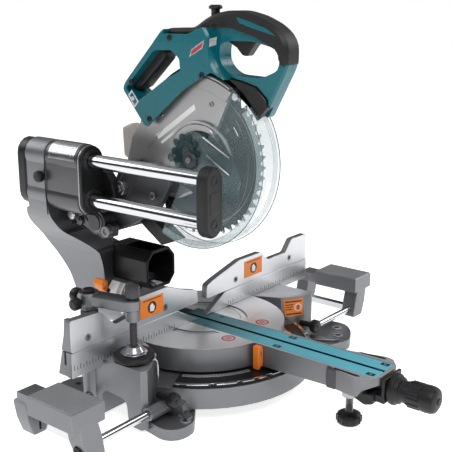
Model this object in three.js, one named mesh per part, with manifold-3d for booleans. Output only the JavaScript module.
// Cordless sliding compound miter saw for a 216 mm blade, in millimetres, +Z up.
// The origin lies on the floor below the turntable's axis. The operator stands at -Y, the fence
// faces -Y in the plane y = 0, and the blade turns in the plane x = 0. The head is shown raised
// and pushed fully back, as the saw is when nobody holds it.
import * as THREE from 'three';
import { mergeVertices } from 'three/addons/utils/BufferGeometryUtils.js';
import Module from 'manifold-3d';

const wasm = await Module();
wasm.setup();

// Driving dimensions
const TABLE_Z = 85; // height of the table above the floor
const DISC_R = 117; // turntable disc
const DISC_Z = 53; // underside of the disc's rim
const BASE_R = 157; // round front of the base
const BASE_TOP_Z = 47.7;
const WING_X = 190; // outer side of the base's two table wings
const RIGHT_REACH = 287; // inner side of the extension wings
const LEFT_REACH = 269;
const ARM_HALF = 28; // half width of the table's front arm
const ARM_FRONT_Y = -298;
const SLOT_HALF = 2.5; // half of the kerf slot
const CHANNEL_HALF = 14.5; // half of the blade's channel below the kerf boards
const GRIP_Z = 66; // axis of the miter lock grip
const FENCE_TOP_Z = 109.7;
const SUB_TOP_Z = 150;
const BLADE_R = 108;
const BLADE_Y = 0; // blade axis with the head raised and back
const BLADE_Z = 316;
const PIVOT_Y = 148; // axis the head chops about
const PIVOT_Z = 214;
const POLE_X = -80;
const POLE_LOW_Z = 252;
const POLE_HIGH_Z = 308;
const POLE_R = 10;
const LOCK_OFF_Y = -26;
const GUARD_R = 122;
const CASE_R = 116; // blade case at the front and top
const CASE_REAR_R = 113;
const BODY_LEFT = -26.5; // left face of the handle housing's wide part
const VISE_POST = [-186, 30];
const VISE_SCREW = [-168, -30];
const GAP = 0.3; // clearance between pieces that touch

const root = new THREE.Group();
const teal = { color: 0x0f6b7d, roughness: 0.42, metalness: 0 };
const lightTeal = { color: 0x7fc4d6, roughness: 0.4, metalness: 0 };
const aluminium = { color: 0xc9cccf, roughness: 0.35, metalness: 0.9 };
const casting = { color: 0x84878a, roughness: 0.5, metalness: 0.7 };
const darkCasting = { color: 0x5d6063, roughness: 0.5, metalness: 0.6 };
const steel = { color: 0xb9bcc0, roughness: 0.25, metalness: 1 };
const chrome = { color: 0xe6e8ea, roughness: 0.08, metalness: 1 };
const blackPlastic = { color: 0x1b1c1e, roughness: 0.55, metalness: 0 };
const rubber = { color: 0x2b2c2e, roughness: 0.8, metalness: 0 };
const orange = { color: 0xe8771f, roughness: 0.45, metalness: 0 };
const clear = { color: 0xc9dde2, roughness: 0.1, metalness: 0 };

// Shape tools ------------------------------------------------------------------------------------

// A three.js geometry as a manifold solid.
function solid(geometry) {
  const bare = geometry.clone();
  bare.deleteAttribute('normal');
  bare.deleteAttribute('uv');
  const merged = mergeVertices(bare, 1e-4);
  return new wasm.Manifold(new wasm.Mesh({
    numProp: 3,
    vertProperties: new Float32Array(merged.attributes.position.array),
    triVerts: new Uint32Array(merged.index.array),
  }));
}

// A finished solid as a three.js geometry.
function geometryOf(body) {
  const mesh = body.getMesh();
  const geometry = new THREE.BufferGeometry();
  geometry.setAttribute('position', new THREE.BufferAttribute(mesh.vertProperties, 3));
  geometry.setIndex(new THREE.BufferAttribute(mesh.triVerts, 1));
  geometry.computeVertexNormals();
  return geometry;
}

// Adds one named piece to the saw.
function piece(name, body, finish) {
  const mesh = new THREE.Mesh(geometryOf(body), new THREE.MeshStandardMaterial(finish));
  mesh.name = name;
  root.add(mesh);
}

// Points along a round stretch, angles in degrees.
function arc(u, v, radius, from, to, steps) {
  return Array.from({ length: steps + 1 }, (_, i) => {
    const angle = THREE.MathUtils.degToRad(from + ((to - from) * i) / steps);
    return [u + radius * Math.cos(angle), v + radius * Math.sin(angle)];
  });
}

// A closed outline whose corners are rounded by the given radius.
function rounded(points, radius, steps = 2) {
  const corners = points.map(([u, v]) => new THREE.Vector2(u, v));
  return corners.flatMap((corner, i) => {
    const before = corners.at(i - 1);
    const after = corners[(i + 1) % corners.length];
    const cut = Math.min(radius, corner.distanceTo(before) * 0.45, corner.distanceTo(after) * 0.45);
    const start = corner.clone().add(before.clone().sub(corner).setLength(cut));
    const end = corner.clone().add(after.clone().sub(corner).setLength(cut));
    const bend = new THREE.QuadraticBezierCurve(start, corner, end);
    return bend.getPoints(steps).map((p) => [p.x, p.y]);
  });
}

// The rectangle u0..u1 by v0..v1 as an outline.
function box2(u0, u1, v0, v1) {
  return [[u0, v0], [u1, v0], [u1, v1], [u0, v1]];
}

// Two equal circles joined by a band, as a pole housing has.
function capsule(u, v0, v1, radius, steps = 8) {
  return [...arc(u, v1, radius, 0, 180, steps), ...arc(u, v0, radius, 180, 360, steps)];
}

// Extrudes an outline along one axis. Outlines are [y, z] for X, [x, z] for Y and [x, y] for Z.
// With an edge size the outer edges are chamfered.
function prism(axis, outline, from, to, edge = 0) {
  const flip = axis === 'Y';
  const shape = new THREE.Shape(outline.map(([u, v]) => new THREE.Vector2(flip ? v : u, flip ? u : v)));
  const geometry = new THREE.ExtrudeGeometry(shape, {
    depth: to - from - 2 * edge,
    bevelEnabled: edge > 0,
    bevelThickness: edge,
    bevelSize: edge,
    bevelOffset: -edge,
    bevelSegments: 1,
    steps: 1,
  });
  geometry.translate(0, 0, from + edge);
  const basis = new THREE.Matrix4();
  const [x, y, z] = [new THREE.Vector3(1, 0, 0), new THREE.Vector3(0, 1, 0), new THREE.Vector3(0, 0, 1)];
  if (axis === 'X') basis.makeBasis(y, z, x);
  if (axis === 'Y') basis.makeBasis(z, x, y);
  geometry.applyMatrix4(basis);
  return solid(geometry);
}

function block(x0, x1, y0, y1, z0, z1, edge = 0) {
  return prism('Z', box2(x0, x1, y0, y1), z0, z1, edge);
}

// A round bar along an axis; u and v are its place in that axis's outline coordinates.
function bar(axis, u, v, radius, from, to, sides = 16) {
  return prism(axis, arc(u, v, radius, 0, 360 - 360 / sides, sides - 1), from, to);
}

// A turned piece: profile is [radius, distance along the axis], starting and ending on the axis.
function turned(axis, u, v, profile, sides = 16) {
  const lathe = new THREE.LatheGeometry(profile.map(([r, h]) => new THREE.Vector2(r, h)), sides);
  if (axis === 'X') lathe.rotateZ(-Math.PI / 2);
  if (axis === 'Z') lathe.rotateX(Math.PI / 2);
  if (axis === 'X') lathe.translate(0, u, v);
  if (axis === 'Y') lathe.translate(u, 0, v);
  if (axis === 'Z') lathe.translate(u, v, 0);
  return solid(lathe);
}

function mirrored(body) {
  return body.mirror([1, 0, 0]);
}

function join(bodies) {
  return bodies.reduce((sum, body) => sum.add(body));
}

function cut(body, tools) {
  return tools.reduce((left, tool) => left.subtract(tool), body);
}

// A ring sector about the blade axis, as an outline.
function bladeSector(inner, outer, from, to, steps = 16) {
  return [
    ...arc(BLADE_Y, BLADE_Z, outer, from, to, steps),
    ...arc(BLADE_Y, BLADE_Z, inner, to, from, steps),
  ];
}

// Base --------------------------------------------------------------------------------------------

// Front feet as drawn on the right, with the places of their bench holes.
const RIGHT_FOOT = [[120, -48], [124, -80], [176, -112], [208, -122], [244, -103], [262, -82], [260, -50],
  [228, -40]];
const RIGHT_HOLES = [[212, -98], [238, -80]];
const LEFT_FOOT = [[92, -50], [92, -66], [146, -110], [172, -108], [184, -92], [176, -44]];
const LEFT_HOLES = [[149, -98], [138, -84]];

function baseWing(foot, holes) {
  const table = [[119, 22], [119, -2], [138, -40], [170, -61], [182, -66], [WING_X, -62], [WING_X, 22]];
  const arch = rounded([[-41, -5], [-36, 40], [8, 43], [10, -5]], 8);
  const rearFoot = rounded([[128, 20], [190, 20], [196, 96], [172, 112], [140, 104]], 14);
  const wing = join([
    prism('Z', table, 6, TABLE_Z),
    prism('Z', rounded(foot, 10), 0, 15),
    prism('Z', [[108, -56], [120, -84], [142, -88], [150, -54]], 12, 30),
    prism('Z', rearFoot, 0, 15),
  ]);
  return cut(wing, [
    prism('X', arch, 110, 200),
    bar('Z', 0, 0, DISC_R + 1.5, DISC_Z - 6, 90, 48),
    ...[...holes, [160, 88]].map(([x, y]) => bar('Z', x, y, 4.5, -1, 20, 12)),
  ]);
}

function baseCasting() {
  const front = [...arc(0, 0, BASE_R, 180, 360, 24), [BASE_R, 30], [-BASE_R, 30]];
  const hollow = [...arc(0, 0, BASE_R - 8, 180, 360, 14), [BASE_R - 8, 22], [8 - BASE_R, 22]];
  const rear = rounded([[-150, 20], [-150, 96], [-112, 122], [112, 122], [150, 96], [150, 20]], 12);
  const shell = cut(join([
    prism('Z', front, 20, BASE_TOP_Z),
    prism('Z', rear, 9, 25),
  ]), [prism('Z', hollow, 10, 40)]);
  const body = join([
    shell,
    bar('Z', 0, 0, 24, 20, BASE_TOP_Z, 12),
    block(-150, 150, -6, 6, 20, 44),
    block(-6, 6, -150, 60, 20, 44),
    bar('X', -70, 30, 9, -188, 188, 8),
    bar('X', 26, 30, 9, -188, 188, 8),
    baseWing(RIGHT_FOOT, RIGHT_HOLES),
    mirrored(baseWing(LEFT_FOOT, LEFT_HOLES)),
    bar('Z', ...VISE_POST, 12, 14, TABLE_Z - 1),
  ]);
  return cut(body, [
    bar('X', -70, 30, 5.5, -200, 200, 12),
    bar('X', 26, 30, 5.5, -200, 200, 12),
    bar('Z', 0, 0, 8.4, 0, 60),
    bar('Y', -160, 44, 4.4, -95, -58, 12),
    bar('Y', 160, 44, 4.4, -95, -58, 12),
    bar('Z', ...VISE_POST, 6.4, 70, 90),
  ]);
}

// Lower fence half, drawn on the right; its inner end leans back so that a tilted blade passes.
function lowerFence(end) {
  const face = [[9, TABLE_Z + GAP], [52, FENCE_TOP_Z], [end, FENCE_TOP_Z], [end, 77], [193, 77],
    [193, TABLE_Z + GAP]];
  const fence = join([
    prism('Y', face, 0.3, 9),
    block(122, 174, 8, 22, TABLE_Z + GAP, 93),
  ]);
  return cut(fence, [bar('Z', 130, 15, 4.2, 80, 100, 10), bar('Z', 166, 15, 4.2, 80, 100, 10)]);
}

// Tops of the sliding fence halves from the blade outwards, drawn on the right. Each has a dip that
// the tilted poles pass through.
const RIGHT_SUB_TOP = [[11, 130], [26, 135], [86, SUB_TOP_Z], [139, SUB_TOP_Z], [146, 145], [158, 134],
  [205, 134], [222, SUB_TOP_Z + 3], [264, SUB_TOP_Z + 3]];
const LEFT_SUB_TOP = [[11, 129], [36, 136], [72, SUB_TOP_Z], [126, SUB_TOP_Z], [132, 142], [145, 129],
  [170, 126], [187, 143], [196, SUB_TOP_Z], [244, SUB_TOP_Z + 2]];

// Sliding upper fence half.
function subFence(top) {
  const face = rounded([[9, 110], ...top, [top.at(-1)[0], 110]], 3);
  const plate = prism('Y', face, 0.3, 10);
  return cut(plate, [bar('Y', 77, 122, 3, -2, 12, 14), bar('Y', 216, 123, 3, -2, 12, 14)]);
}

function notchPlate() {
  const outline = [...arc(0, 0, 154, 206, 334, 20), ...arc(0, 0, 104, 334, 206, 12)];
  const plate = prism('Z', outline, BASE_TOP_Z + GAP, 51);
  const stops = [-45, -31.6, -22.5, -15, 0, 15, 22.5, 31.6, 45];
  const notches = stops.map((degrees) => {
    const angle = THREE.MathUtils.degToRad(degrees - 90);
    return bar('Z', 154 * Math.cos(angle), 154 * Math.sin(angle), 3, 40, 60, 4);
  });
  return cut(plate, notches);
}

// Extension wing on the right, drawn where it meets the base and then shifted out by "reach".
function extensionWing(reach) {
  const leg = rounded([[10, 64], [38, 64], [34, 40], [26, 18], [0, 18], [4, 42]], 3);
  const wing = join([
    block(0, 49, -83, -5, 60, TABLE_Z, 1.5),
    prism('Y', leg, -82, -58, 1),
    prism('Y', leg, 14, 36, 1),
    block(8, 36, -8, 30, 60, 75),
  ]);
  return cut(wing, [
    block(4, 45, -55, -8, 50, 81),
    bar('X', -70, 30, 5.5, -4, 20, 12),
    bar('X', 26, 30, 5.5, -4, 20, 12),
    block(4.5, 18, -77, 33, 23, 37),
  ]).translate([reach, 0, 0]);
}

// The wing's two guide rods and the cross bar that ties them together under the wing.
function wingRods(reach) {
  const rods = [-70, 26].map((y) => bar('X', y, 30, 5, -120, 16.5, 12));
  return join([...rods, block(5.5, 16.5, -74, 30, 25.5, 34.5)]).translate([reach, 0, 0]);
}

function wingLockKnob() {
  const profile = [[0, -95], [8, -95], [9, -92], [9, -84], [6, -82], [4, -81], [4, -62], [0, -62]];
  return turned('Y', 160, 44, profile);
}

function pivotBolt() {
  const profile = [[0, 12], [14, 12], [14, 19.7], [8, 19.7], [8, 60], [0, 60]];
  return turned('Z', 0, 0, profile);
}

// Vise --------------------------------------------------------------------------------------------

function visePost() {
  return join([
    bar('Z', ...VISE_POST, 6, 71, 172),
    block(VISE_POST[0] - 9, VISE_POST[0] + 9, VISE_POST[1] - 7, VISE_POST[1] + 7, 112, 145, 1.5),
  ]);
}

function viseArm() {
  const [px, py] = VISE_POST;
  const [sx, sy] = VISE_SCREW;
  const beam = rounded([[px - 12, py + 13], [px + 12, py + 13], [sx + 11, sy - 4], [sx, sy - 12],
    [sx - 11, sy - 4]], 8);
  const arm = join([
    prism('Z', beam, 151.3, 165.7, 1.5),
    bar('Z', sx, sy, 9, 138, 153),
    bar('Z', px, py, 13, 151.3, 168),
  ]);
  return cut(arm, [bar('Z', px, py, 6.4, 130, 180), bar('Z', sx, sy, 5.3, 130, 180)]);
}

function viseScrew() {
  const profile = [[0, 101.3], [5, 101.3], [5, 168], [8, 168], [9.5, 170], [9.5, 180], [8, 183],
    [0, 184]];
  return turned('Z', ...VISE_SCREW, profile);
}

function visePad() {
  const profile = [[0, 87], [25, 87], [26, 89], [26, 95], [20, 97], [17, 97], [9, 105], [5.4, 105],
    [5.4, 101], [0, 101]];
  return turned('Z', ...VISE_SCREW, profile);
}

function viseThumbScrew() {
  const profile = [[0, -214], [6, -214], [8, -212], [8, -204], [4, -202], [4, -199.4], [0, -199.4]];
  return turned('X', VISE_POST[1], 157, profile, 16);
}

// Turntable ---------------------------------------------------------------------------------------

function turnBase() {
  const armTop = rounded([[-ARM_HALF, -90], [-ARM_HALF, -226], [-40, -272], [-38, -284],
    [-20, ARM_FRONT_Y], [20, ARM_FRONT_Y], [38, -284], [40, -272], [ARM_HALF, -226],
    [ARM_HALF, -90]], 3);
  const armDepth = rounded([[-90, 54], [-226, 57], [-276, 60], [-282, 70], [-300, 76], [-300, 90],
    [-90, 90]], 2);
  const arm = prism('Z', armTop, 50, TABLE_Z).intersect(prism('X', armDepth, -60, 60));
  const disc = prism('Z', arc(0, 0, DISC_R, 0, 352.5, 47), DISC_Z, TABLE_Z);
  const body = join([
    disc,
    arm,
    bar('Z', 0, 0, 60, 51.4, DISC_Z + 2),
    prism('Y', rounded([[-26, 54], [26, 54], [26, 80], [10, 84], [-10, 84], [-26, 80]], 4), 100, 122),
    bar('Y', 0, TABLE_Z, 28, 108, 121.5),
    bar('Z', 0, -245, 9, 38, 60),
  ]);
  const groove = cut(bar('Z', 0, 0, 64, TABLE_Z - 1.2, 90, 36), [bar('Z', 0, 0, 54, 80, 92, 36)]);
  const hollow = cut(bar('Z', 0, 0, DISC_R - 8, 40, DISC_Z + 20, 30), [
    bar('Z', 0, 0, 60.5, 30, 90), block(-22, 22, -130, 130, 30, 90),
  ]);
  return cut(body, [
    groove.subtract(block(-30, 30, -70, 0, 60, 95)),
    hollow,
    block(-CHANNEL_HALF, CHANNEL_HALF, -293, 58, 64, 100),
    block(-25.3, 25.3, -292.3, 30, TABLE_Z - 4.3, 100),
    bar('Z', 0, 0, 8.4, 30, 63),
    bar('Z', 0, -245, 5.2, 30, 64.5, 16),
    bar('Y', 0, GRIP_Z, 4.4, -310, -290, 12),
    bar('Y', 0, TABLE_Z, 10.3, 100, 130),
    block(-CHANNEL_HALF, CHANNEL_HALF, 0, 58, 70, 100),
    block(-200, 200, 90, 200, TABLE_Z + 30, 200),
  ]);
}

// Kerf board on the right of the slot, undercut so that a tilted blade clears it.
function kerfBoard() {
  const section = [[SLOT_HALF, TABLE_Z - 0.3], [SLOT_HALF + 4, TABLE_Z - 4], [25, TABLE_Z - 4],
    [25, TABLE_Z - 0.3]];
  const board = prism('Y', section, -292, 29.7);
  const holes = [[19, -283], [19, -144], [19, -20]];
  return cut(board, holes.map(([x, y]) => bar('Z', x, y, 3, TABLE_Z - 2.2, 90, 12)));
}

function miterPointer() {
  const side = [[-37, DISC_Z + 31], [-28.3, DISC_Z + 31], [-28.3, 60], [-33, 52], [-37, 52]];
  return prism('Y', side, -128, -117.8, 0.8);
}

// Black block under the arm's front that carries the lock grip.
function gripBracket() {
  const rib = rounded([[-270, 59.5], [-281, 59.5], [-286, 69], [-288, 69], [-288, 50], [-278, 43],
    [-262, 47], [-258, 52]], 2);
  const side = rounded([[-288.5, 60], [-288.5, 46], [-276, 42], [-260, 48], [-260, 56]], 3);
  const body = prism('X', side, -20, 20, 1.5);
  const plate = block(-21, 21, -304, -300.3, 52, 84, 0.6);
  const link = block(-16, 16, -302, -287, 50, 58.5);
  return cut(join([body, plate, link, prism('X', rib, -3, 3)]), [
    bar('Y', 0, GRIP_Z, 4.6, -310, -296, 12),
  ]);
}

function miterGrip() {
  const profile = [[0, -364], [9, -364], [16, -361], [17, -355], [16, -326], [14, -322], [14, -318],
    [16.5, -316], [19, -312], [20, -306], [18, -304.4], [4.2, -304.4], [4.2, -292], [0, -292]];
  return turned('Y', 0, GRIP_Z, profile);
}

// Lever under the arm that frees the positive stops.
function stopLever() {
  const shape = rounded([[-236, 50], [-256, 50], [-262, 38], [-268, 34], [-262, 32], [-252, 40],
    [-236, 44]], 2);
  return prism('X', shape, 14, 24, 1);
}

function frontFoot() {
  const profile = [[0, 0], [14, 0], [16, 3], [16, 12], [12, 15], [5, 16], [5, 58], [0, 58]];
  return turned('Z', 0, -245, profile);
}

// Tilting arm -------------------------------------------------------------------------------------

function hoodOuter(grow) {
  const g = grow;
  return prism('Y', [[-30 - g, 128], [-18, 114 - g], [18, 114 - g], [30 + g, 128], [30 + g, 158],
    [18, 172 + g], [-18, 172 + g], [-30 - g, 158]], 80, 161 + g);
}

function tiltArm() {
  const lean = rounded([[-44, 84], [-46, 118], [-50, 150], [-60, 176], [-86, 204], [-101, 226], [-101, 262],
    [-59, 262], [-59, 240], [-36, 205], [2, 164], [34, 140], [44, 100], [44, 84]], 12);
  const depth = rounded([[162, 70], [152, 112], [148, 134], [148, 166], [176, 180], [207, 193],
    [207, 270], [250, 270], [250, 236], [266, 212], [272, 188], [266, 165], [246, 142], [228, 120],
    [214, 84], [214, 70]], 8);
  const neck = prism('Y', lean, 150, 280).intersect(prism('X', depth, -120, 80));
  const housing = prism('Y', capsule(POLE_X, POLE_LOW_Z, POLE_HIGH_Z, 21), 206.5, 250, 1);
  const flange = bar('Y', 0, TABLE_Z, 44, 122.5, 214, 32);
  return cut(join([neck, housing, flange]), [
    hoodOuter(0.6),
    bar('Y', POLE_X, POLE_LOW_Z, POLE_R + 0.4, 200, 260),
    bar('Y', POLE_X, POLE_HIGH_Z, POLE_R + 0.4, 200, 260),
    bar('Y', 0, TABLE_Z, 10.4, 110, 230),
    bar('Y', 0, TABLE_Z, 17.5, 214.3, 280),
    block(-110, -50, 250.1, 280, 228, 270),
  ]);
}

function armRearCover() {
  const outline = capsule(POLE_X, POLE_LOW_Z, POLE_HIGH_Z, 22);
  return cut(prism('Y', outline, 250.3, 270, 3), [
    prism('Y', capsule(POLE_X, POLE_LOW_Z, POLE_HIGH_Z, 16), 245, 262)]);
}

function slidePole(z) {
  return bar('Y', POLE_X, z, POLE_R, -78, 249.5);
}

function poleEndCap() {
  const cap = prism('Y', capsule(POLE_X, POLE_LOW_Z, POLE_HIGH_Z, 17.5), -90, -72, 3);
  return cut(cap, [POLE_LOW_Z, POLE_HIGH_Z].map((z) => bar('Y', POLE_X, z, POLE_R + GAP, -78.3, -60)));
}

// Catches the chips behind the blade; slotted above and below, where the chute swings in.
function dustHood() {
  const inside = prism('Y', [[-27.5, 129], [-17, 116.5], [17, 116.5], [27.5, 129], [27.5, 157], [17, 169.5],
    [-17, 169.5], [-27.5, 157]], 70, 157);
  return cut(hoodOuter(0), [
    inside,
    block(-16.5, 16.5, 70, 138, 165, 180),
    block(-16.5, 16.5, 70, 110, 110, 120),
  ]);
}

function bevelScale() {
  const ring = [...arc(0, TABLE_Z, 46.6, 134, 166, 8), ...arc(0, TABLE_Z, 44.3, 166, 134, 8)];
  return prism('Y', ring, 123, 150);
}

function bevelPivot() {
  const profile = [[0, 102], [10, 102], [10, 214.6], [17, 214.6], [17, 226], [0, 226]];
  return turned('Y', 0, TABLE_Z, profile);
}

// Lever beside the bevel flange that frees the 0 degree stop.
function bevelRelease() {
  const shape = rounded([[-48, 114], [-58, 128], [-64, 122], [-58, 108], [-47.3, 102]], 3);
  return prism('Y', shape, 140, 158, 1.2);
}

function slideLockKnob() {
  const profile = [[0, -113], [6.5, -113], [7.5, -110], [7.5, -104], [4, -101.6], [0, -101.6]];
  return turned('X', 214, 280, profile);
}

// Carriage ----------------------------------------------------------------------------------------

function carriage() {
  const housing = prism('Y', capsule(POLE_X, POLE_LOW_Z, POLE_HIGH_Z, 21), 136.5, 206, 1);
  const bridge = rounded([[174, 206], [198, 206], [205, 214], [205, 240], [180, 240], [172, 226]], 4);
  const lug = [...arc(PIVOT_Y, PIVOT_Z, 18, 70, 290, 12), [176, 206], [176, 238]];
  return cut(join([
    housing,
    prism('X', bridge, -66, 58),
    prism('X', lug, -62, -44.3),
    prism('X', lug, 46.3, 58),
  ]), [
    bar('Y', POLE_X, POLE_LOW_Z, 14.3, 130, 212),
    bar('Y', POLE_X, POLE_HIGH_Z, 14.3, 130, 212),
    bar('X', PIVOT_Y, PIVOT_Z, 8.4, -70, 70),
  ]);
}

function linearBearing(z) {
  return cut(bar('Y', POLE_X, z, 14, 137.5, 205.5), [bar('Y', POLE_X, z, POLE_R + 0.1, 130, 212)]);
}

function carriageSeal() {
  const plate = prism('Y', capsule(POLE_X, POLE_LOW_Z, POLE_HIGH_Z, 21.5), 131, 136.2, 1);
  return cut(plate, [POLE_LOW_Z, POLE_HIGH_Z].map((z) => bar('Y', POLE_X, z, POLE_R + 0.5, 120, 140)));
}

function headPivotPin() {
  const profile = [[0, -67], [12, -67], [12, -62.3], [8, -62.3], [8, 58.3], [12, 58.3], [12, 63], [0, 63]];
  return turned('X', PIVOT_Y, PIVOT_Z, profile);
}

// Pin that holds the head down for carrying.
function stopperPin() {
  const profile = [[0, -74], [6, -74], [8, -72], [8, -66.4], [0, -66.4]];
  return turned('X', 190, 221, profile, 16);
}

// Head --------------------------------------------------------------------------------------------

function bladeCase() {
  const front = [[-57, 398], [-38, 360], [-40, 300], [-18, 278], [30, 258]];
  const rear = [[96, 252], [128, 272], [133, 300], [122, 334]];
  const shellOutline = [...rear, ...arc(BLADE_Y, BLADE_Z, CASE_REAR_R, 20, 78, 11),
    ...arc(BLADE_Y, BLADE_Z, CASE_R, 84, 122, 8), ...front];
  const panelOutline = [[88, 262], [88, 352], [25, 406], ...arc(BLADE_Y, BLADE_Z, CASE_R - 1, 84, 121, 8),
    ...front];
  const inner = arc(BLADE_Y, BLADE_Z, CASE_REAR_R - 2.6, 0, 350, 35);
  const shell = cut(prism('X', shellOutline, -10, 11.3, 1), [
    prism('X', inner, -7, 8.5),
    prism('X', [[-80, 250], [-80, 330], [80, 262], [80, 240]], -7, 8.5),
  ]);
  const step = prism('X', rounded([[58, 262], [60, 300], [40, 345], [8, 366], [-30, 364], [-38, 345],
    [-34, 300], [-12, 280], [28, 262]], 14), -17, -13, 1.5);
  return cut(join([shell, prism('X', panelOutline, -13.5, -9), step]), [
    bar('X', BLADE_Y, BLADE_Z, 26, -30, -5),
    bar('X', BLADE_Y, BLADE_Z, 17, 5, 20),
  ]);
}

function hubCover() {
  const profile = [[0, -27], [10, -27], [12.5, -24], [12.5, -19.7], [33, -19.7], [34, -17.3], [0, -17.3]];
  return turned('X', BLADE_Y, BLADE_Z, profile);
}

// Casting from the chop pivot to the gear case, with a plate on each side of the blade.
function headArm() {
  const barrel = bar('X', PIVOT_Y, PIVOT_Z, 17, -44, 46);
  const leftPlate = rounded([[164, 206], [164, 228], [134, 252], [112, 290], [84, 300], [30, 292],
    [20, 284], [46, 244], [112, 206], [140, 198]], 6);
  const rightPlate = rounded([[164, 206], [164, 228], [124, 268], [104, 330], [66, 380], [30, 392],
    [-10, 366], [-26, 330], [-22, 300], [20, 290], [70, 262], [128, 200]], 10);
  return cut(join([
    barrel,
    prism('X', leftPlate, -41, -28, 2),
    prism('X', rightPlate, 15, 28, 2),
    bar('X', 50, 374, 26, 20, 44),
    bar('X', BLADE_Y, BLADE_Z, 30, 11.6, 28, 20),
    prism('X', [[128, 200], [128, 228], [164, 228], [164, 200]], -41, 44),
  ]), [
    bar('X', PIVOT_Y, PIVOT_Z, 8.4, -60, 60),
    bar('X', BLADE_Y, BLADE_Z, 12.5, 0, 60),
  ]);
}

// Side outline of the handle housing, from its lowest point round the carry handle to the front.
const HOUSING = [[86, 350], [132, 403], [127, 413], [53, 485], [44, 488], [0, 489], [-18, 500],
  [-34, 507], [-56, 511], [-76, 511], [-102, 505], [-126, 495], [-141, 484], [-149, 471], [-149, 446],
  [-112, 377], [-100, 386]];
// The part of it that is full width.
const HOUSING_BODY = [[80, 353], [124, 404], [119, 413], [49, 484], [44, 487], [0, 488], [-22, 498],
  [-36, 480], [-38, 452], [-46, 437], [-60, 426], [-80, 400]];
// The part of it that the dark grip takes up.
const GRIP = [[36, 520], [44, 481], [0, 481], [-22, 490], [-60, 490], [-100, 479], [-131, 465],
  [-140, 446], [-170, 451], [-170, 520]];
const LAMP = [[-60, 427], [-79, 424], [-102, 418], [-118, 404], [-121, 394], [-110, 382]];

function handHole() {
  return rounded([[-43, 470], [-42, 450], [-51, 438], [-64, 431], [-108, 429], [-134, 440], [-137, 458],
    [-130, 466], [-96, 474], [-60, 474]], 6);
}

function carryHole() {
  return rounded([[60, 459], [28, 460], [14, 449], [14, 434], [41, 421], [66, 405], [92, 389],
    [116, 405]], 4);
}

// What the guard's rim and the blade case sweep through under the housing.
function sweepOutline() {
  return [...arc(BLADE_Y, BLADE_Z, 122.8, 10, 58, 9), ...arc(BLADE_Y, BLADE_Z, 124.4, 60, 148, 16),
    [-200, 360], [-60, 300]];
}

function housingSolid() {
  return cut(join([
    prism('X', rounded(HOUSING, 7), -12, 12, 2.5),
    prism('X', rounded(HOUSING_BODY, 7), BODY_LEFT, 18, 3),
  ]), [
    prism('X', handHole(), -40, 40),
    prism('X', carryHole(), -40, 40),
    prism('X', sweepOutline(), -40, 40),
    prism('X', [[-57, 400], [-59, 428.5], [-79, 425], [-102.5, 419], [-119, 404.5], [-124, 380],
      [-100, 372]], -40, -2),
    prism('X', box2(-90, -58, 440, 487), -8.4, 8.4),
    bar('Z', 0, LOCK_OFF_Y, 6.4, 485, 520, 12),
    carryPadSolid(GAP),
  ]);
}

// Half of the handle housing, left for side -1 and right for side 1.
function handleShell(side) {
  const half = side < 0 ? block(-60, -0.15, -300, 300, 300, 600) : block(0.15, 60, -300, 300, 300, 600);
  return housingSolid().intersect(half).subtract(prism('X', GRIP, -40, 40));
}

function handleGrip() {
  const region = GRIP.map(([y, z]) => [y > 0 ? y - 0.5 : y, z + GAP]);
  return cut(prism('X', rounded(HOUSING, 7), -15.5, 15.5, 4.5).intersect(prism('X', region, -40, 40)), [
    prism('X', handHole(), -40, 40),
    prism('X', box2(-90, -58, 440, 487), -8.4, 8.4),
    bar('Z', 0, LOCK_OFF_Y, 6.4, 485, 520, 12),
  ]);
}

// Soft pad along the inside of the carry handle, grown by a clearance for its seat.
function carryPadSolid(grow) {
  const along = new THREE.Vector2(1, -0.93).normalize();
  const across = new THREE.Vector2(-along.y, along.x);
  const start = new THREE.Vector2(62, 457);
  const outline = box2(-grow, 72 + grow, -1.5 - grow, 4 + grow).map(([u, v]) => start.clone()
    .addScaledVector(along, u).addScaledVector(across, v).toArray());
  return prism('X', outline, -13 - grow, 13 + grow);
}

// Coloured cover that carries the housing's left face down over the rear of the blade case.
function caseCover() {
  const top = [...arc(BLADE_Y, BLADE_Z, 122.3, 108, 87, 4), [10.5, 432], [35, 424], [60, 408], [78, 396],
    ...arc(BLADE_Y, BLADE_Z, 122.3, 42, 22, 4).filter(([y]) => y < 103)];
  return prism('X', [...top, [82, 356], [75, 353], [12, 405], [-14, 418]].reverse(), BODY_LEFT, -23.4, 0.8);
}

function lampHousing() {
  const outline = [...arc(BLADE_Y, BLADE_Z, 124.8, 147, 119, 5), ...LAMP];
  return prism('X', outline, -16, -2.3, 1);
}

function dustNozzle() {
  const tube = rounded([[118, 236], [124, 222], [98, 204], [66, 183], [38, 194], [58, 206], [88, 226]], 3);
  const bore = [[60, 187], [44, 193], [62, 203], [92, 222], [97, 208]];
  return cut(prism('X', tube, -13.5, 11.5, 1.5), [
    prism('X', bore, -11, 9),
    prism('X', [[40, 180], [30, 196], [52, 202], [70, 186]], -11, 9),
  ]);
}

function motorHousing() {
  const [y, z] = [50, 374];
  const body = prism('X', arc(y, z, 34, 0, 345, 23), 44.3, 88, 3);
  const stand = prism('X', [[26, 352], [22, 339], [78, 339], [74, 352]], 44.6, 84, 1);
  const vents = Array.from({ length: 5 }, (_, i) => prism('X',
    box2(y - 22 + i * 9.5, y - 17 + i * 9.5, z - 13, z + 13), 84, 96));
  return cut(join([body, stand]), vents);
}

function batteryPack() {
  const pack = prism('X', rounded(box2(14, 98, 276, 338), 6), 30, 94, 2.5);
  return cut(pack, [block(86, 96, 40, 72, 294, 320)]);
}

function trigger() {
  const shape = rounded([[-61, 484], [-61, 462], [-68, 456], [-74, 456], [-86, 466], [-88, 472],
    [-88, 484]], 3);
  return prism('X', shape, -7.8, 7.8, 1.5);
}

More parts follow.
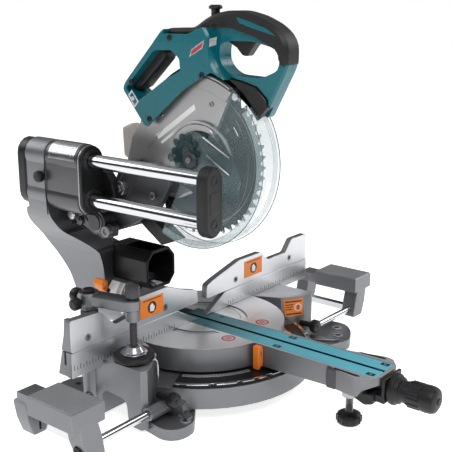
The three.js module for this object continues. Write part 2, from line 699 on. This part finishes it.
function lockOffButton() {
  const profile = [[0, 491], [5.8, 491], [5.8, 512], [9, 513], [9, 516], [6, 518], [0, 518]];
  return turned('Z', 0, LOCK_OFF_Y, profile, 12);
}

// Blade -------------------------------------------------------------------------------------------

function sawBlade() {
  const teeth = 36;
  const rim = Array.from({ length: teeth }, (_, i) => {
    const start = (i * 360) / teeth;
    return [[BLADE_R, 0], [BLADE_R - 1.5, 3], [BLADE_R - 9, 4.5]].map(([r, turn]) => {
      const angle = THREE.MathUtils.degToRad(start + turn);
      return [BLADE_Y + r * Math.cos(angle), BLADE_Z + r * Math.sin(angle)];
    });
  }).flat();
  return cut(prism('X', rim, -1, 1), [bar('X', BLADE_Y, BLADE_Z, 12.7, -5, 5)]);
}

function spindle() {
  const profile = [[0, -4.5], [12.4, -4.5], [12.4, 1.3], [16.5, 1.3], [16.5, 6], [12, 6.2], [12, 30],
    [0, 30]];
  return turned('X', BLADE_Y, BLADE_Z, profile);
}

function bladeFlange() {
  const washer = bar('X', BLADE_Y, BLADE_Z, 20, -8.2, -4.8);
  const head = bar('X', BLADE_Y, BLADE_Z, 8, -13.5, -8, 6);
  const ring = cut(bar('X', BLADE_Y, BLADE_Z, 20, -5, -1.3), [bar('X', BLADE_Y, BLADE_Z, 12.8, -6, 0)]);
  return join([washer, head, ring]);
}

// Lower guard -------------------------------------------------------------------------------------

function lowerGuard() {
  const wall = join([
    prism('X', bladeSector(30, GUARD_R, 141, 297, 20), -23, -20.6),
    bar('X', BLADE_Y, BLADE_Z, 40, -23, -20.6),
  ]);
  const rim = prism('X', bladeSector(GUARD_R - 2.6, GUARD_R, 141, 297, 20), -21, 14);
  const lip = prism('X', bladeSector(112, GUARD_R, 141, 297, 20), 12, 14);
  return cut(join([wall, rim, lip]), [
    bar('X', BLADE_Y, BLADE_Z, 13.2, -30, -10, 16),
    prism('X', bladeSector(GUARD_R - 6, GUARD_R + 6, 187.8, 226.8, 5), -9, -3),
  ]);
}

// The saw -----------------------------------------------------------------------------------------

piece('base_casting', baseCasting(), casting);
piece('fence_right', lowerFence(266), aluminium);
piece('fence_left', mirrored(lowerFence(244)), aluminium);
piece('sub_fence_right', subFence(RIGHT_SUB_TOP), aluminium);
piece('sub_fence_left', mirrored(subFence(LEFT_SUB_TOP)), aluminium);
piece('notch_plate', notchPlate(), darkCasting);
piece('pivot_bolt', pivotBolt(), steel);
piece('wing_right', extensionWing(RIGHT_REACH), casting);
piece('wing_left', mirrored(extensionWing(LEFT_REACH)), casting);
piece('wing_rods_right', wingRods(RIGHT_REACH), chrome);
piece('wing_rods_left', mirrored(wingRods(LEFT_REACH)), chrome);
piece('wing_knob_right', wingLockKnob(), blackPlastic);
piece('wing_knob_left', mirrored(wingLockKnob()), blackPlastic);
piece('vise_post', visePost(), darkCasting);
piece('vise_arm', viseArm(), casting);
piece('vise_screw', viseScrew(), blackPlastic);
piece('vise_pad', visePad(), blackPlastic);
piece('vise_thumb_screw', viseThumbScrew(), blackPlastic);

piece('turn_base', turnBase(), aluminium);
piece('kerf_board_right', kerfBoard(), lightTeal);
piece('kerf_board_left', mirrored(kerfBoard()), lightTeal);
piece('miter_pointer', miterPointer(), orange);
piece('grip_bracket', gripBracket(), blackPlastic);
piece('miter_grip', miterGrip(), rubber);
piece('stop_lever', stopLever(), blackPlastic);
piece('front_foot', frontFoot(), blackPlastic);

piece('tilt_arm', tiltArm(), casting);
piece('arm_rear_cover', armRearCover(), blackPlastic);
piece('slide_pole_upper', slidePole(POLE_HIGH_Z), chrome);
piece('slide_pole_lower', slidePole(POLE_LOW_Z), chrome);
piece('pole_end_cap', poleEndCap(), blackPlastic);
piece('dust_hood', dustHood(), blackPlastic);
piece('bevel_scale', bevelScale(), steel);
piece('bevel_pivot', bevelPivot(), steel);
piece('bevel_release', bevelRelease(), orange);
piece('slide_lock_knob', slideLockKnob(), blackPlastic);

piece('carriage', carriage(), casting);
piece('bearing_upper', linearBearing(POLE_HIGH_Z), steel);
piece('bearing_lower', linearBearing(POLE_LOW_Z), steel);
piece('carriage_seal', carriageSeal(), blackPlastic);
piece('head_pivot_pin', headPivotPin(), steel);
piece('stopper_pin', stopperPin(), blackPlastic);

piece('head_arm', headArm(), darkCasting);
piece('blade_case', bladeCase(), casting);
piece('hub_cover', hubCover(), darkCasting);
piece('handle_shell_left', handleShell(-1), teal);
piece('handle_shell_right', handleShell(1), teal);
piece('handle_grip', handleGrip(), rubber);
piece('carry_pad', carryPadSolid(0), rubber);
piece('case_cover', caseCover(), teal);
piece('lamp_housing', lampHousing(), blackPlastic);
piece('dust_nozzle', dustNozzle(), rubber);
piece('motor_housing', motorHousing(), teal);
piece('battery', batteryPack(), blackPlastic);
piece('trigger', trigger(), blackPlastic);
piece('lock_off_button', lockOffButton(), blackPlastic);
piece('saw_blade', sawBlade(), steel);
piece('spindle', spindle(), steel);
piece('blade_flange', bladeFlange(), steel);
piece('lower_guard', lowerGuard(), clear);

export default root;
